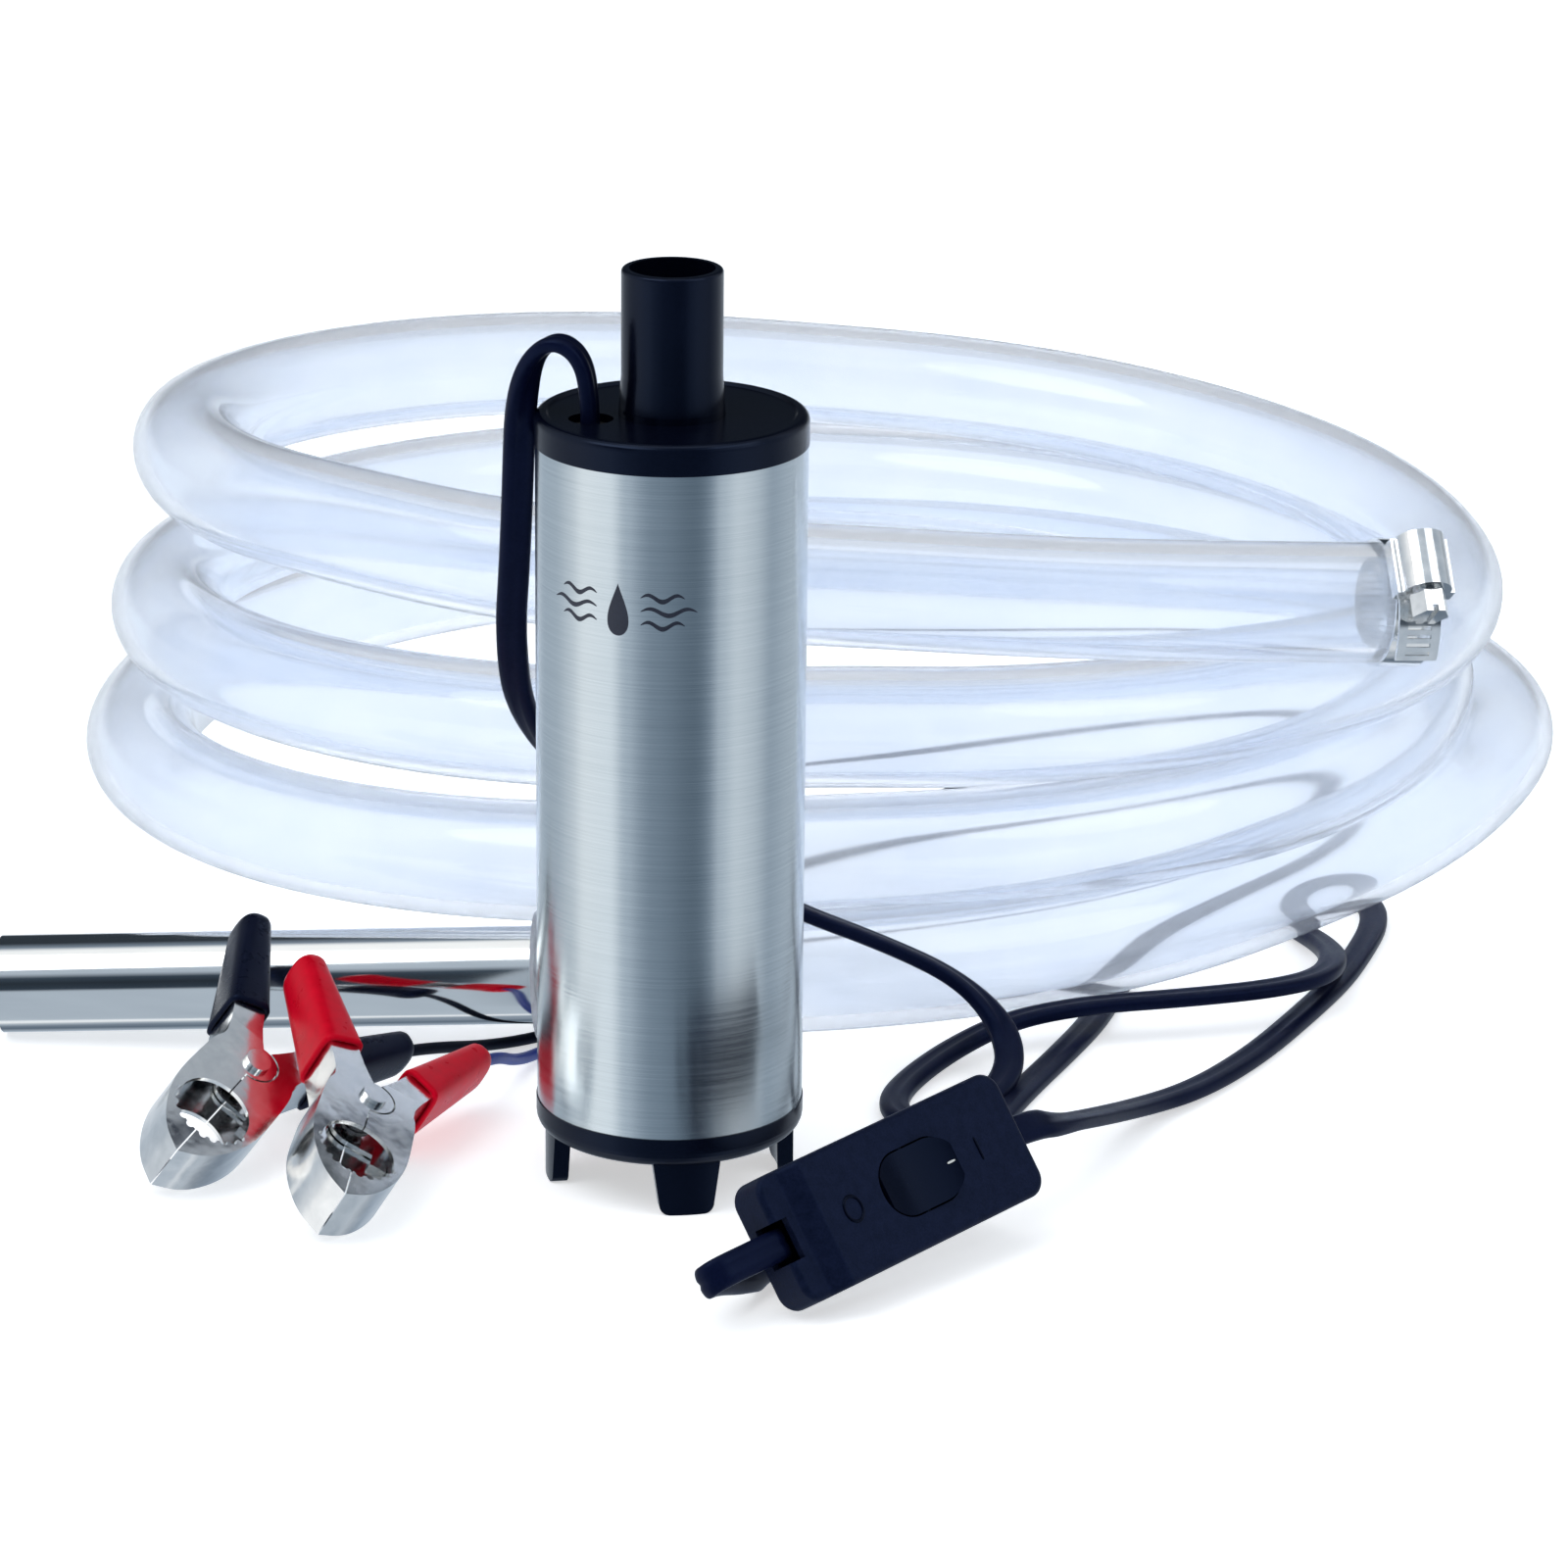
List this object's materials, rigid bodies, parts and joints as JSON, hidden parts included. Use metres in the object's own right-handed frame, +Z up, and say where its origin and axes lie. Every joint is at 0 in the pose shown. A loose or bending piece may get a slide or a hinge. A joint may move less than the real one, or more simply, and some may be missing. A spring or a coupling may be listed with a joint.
{
  "type": "fluid transfer pump",
  "caption": "Submersible 12 volt fluid transfer pump with clear hose, steel nozzle tube, in-line rocker switch and sprung battery clips.",
  "frame": {"origin": "on the floor, on the axis of the pump body", "axes": "+Z up along the pump's axis; +Y towards the coiled hose; +X to the right as seen with the pump in front of its hose"},
  "size_m": [0.338, 0.4723, 0.1787],
  "materials": {
    "sleeve_steel": "fine brushing round the sleeve",
    "nozzle_steel": "polished thin stainless tube",
    "black_plastic": "moulded black plastic, slightly satin",
    "switch_plastic": "fine textured dark shell",
    "rocker_plastic": "smooth dark rocker",
    "clear_hose": "clear flexible tube",
    "zinc_steel": "bright zinc plated",
    "red_vinyl": "soft red vinyl sleeve",
    "black_vinyl": "soft black vinyl sleeve",
    "lead_vinyl": "flexible twin cord, satin",
    "wire_black_vinyl": "single core, satin",
    "wire_blue_vinyl": "single core, satin",
    "copper": "enamelled copper and copper strip",
    "brass": "plain brass",
    "magnet": "ferrite",
    "core_steel": "stacked sheet steel",
    "motor_steel": "plated steel",
    "carbon": "pressed carbon",
    "seal_rubber": "soft seal",
    "white_plastic": "moulded inner part",
    "spring_steel": "spring wire"
  },
  "bodies": {
    "pump": {"pump_sleeve": "sleeve_steel", "top_cap": "black_plastic", "outlet_spout": "black_plastic", "cord_gland": "seal_rubber", "base_ring": "black_plastic", "strainer_plate": "black_plastic", "diffuser_plate": "white_plastic", "motor_can": "motor_steel", "motor_end_bell": "white_plastic", "motor_cover": "black_plastic", "field_magnets": "magnet", "carbon_brushes": "carbon", "brush_holders": "white_plastic", "shaft_bearings": "brass", "shaft_seal": "seal_rubber", "cap_o_ring": "seal_rubber", "base_o_ring": "seal_rubber", "switch_top_shell": "switch_plastic", "switch_bottom_shell": "switch_plastic", "switch_contacts": "brass", "switch_screws": "motor_steel", "hose_coil": "clear_hose", "hose_free_end": "clear_hose", "hose_start": "clear_hose", "nozzle_tube": "nozzle_steel", "free_clip_band": "zinc_steel", "free_clip_housing": "zinc_steel", "nozzle_clip_band": "zinc_steel", "nozzle_clip_housing": "zinc_steel", "pump_lead": "lead_vinyl", "battery_lead": "lead_vinyl", "wire_black": "wire_black_vinyl", "wire_blue": "wire_blue_vinyl", "clip_black_jaw_lower": "zinc_steel", "clip_black_rivet": "zinc_steel", "clip_black_spring": "spring_steel", "clip_black_sleeve_lower": "black_vinyl", "clip_red_jaw_lower": "zinc_steel", "clip_red_rivet": "zinc_steel", "clip_red_spring": "spring_steel", "clip_red_sleeve_lower": "red_vinyl"},
    "rotor": {"motor_shaft": "motor_steel", "armature_core": "core_steel", "armature_windings": "copper", "commutator": "copper", "impeller": "white_plastic"},
    "rocker": {"switch_rocker": "rocker_plastic", "switch_bridge": "brass", "switch_spring": "spring_steel"},
    "black_clip_arm": {"clip_black_jaw_upper": "zinc_steel", "clip_black_sleeve_upper": "black_vinyl"},
    "red_clip_arm": {"clip_red_jaw_upper": "zinc_steel", "clip_red_sleeve_upper": "red_vinyl"},
    "free_clip_drive": {"free_clip_screw": "zinc_steel"},
    "nozzle_clip_drive": {"nozzle_clip_screw": "zinc_steel"}
  },
  "joints": [
    {"name": "rotor_spin", "type": "hinge", "parent": "pump", "child": "rotor", "pos_m": [0, 0, 0.06], "axis": [0, 0, 1], "continuous": true},
    {"name": "rocker_tilt", "type": "hinge", "parent": "pump", "child": "rocker", "pos_m": [0.04565, -0.04894, 0.01781], "axis": [-0.4434, 0.35, 0.8252], "range_deg": [0, 18]},
    {"name": "clip_black_open", "type": "hinge", "parent": "pump", "child": "black_clip_arm", "pos_m": [-0.0832, 0.0104, 0.0134], "axis": [-0.5129, 0.352, -0.7829], "range_deg": [0, 24], "stiffness_Nm_per_rad": 0.5, "springref_deg": -22.92},
    {"name": "clip_red_open", "type": "hinge", "parent": "pump", "child": "red_clip_arm", "pos_m": [-0.0592, -0.0084, 0.0133], "axis": [-0.4999, 0.2032, -0.8419], "range_deg": [0, 24], "stiffness_Nm_per_rad": 0.5, "springref_deg": -22.92},
    {"name": "free_clip_screw_turn", "type": "hinge", "parent": "pump", "child": "free_clip_drive", "pos_m": [0.15133, 0.09312, 0.09554], "axis": [0.115, -0.6385, -0.761], "continuous": true},
    {"name": "nozzle_clip_screw_turn", "type": "hinge", "parent": "pump", "child": "nozzle_clip_drive", "pos_m": [-0.02006, 0.06799, 0.03367], "axis": [-0.0771, -0.9673, 0.2418], "continuous": true}
  ]
}
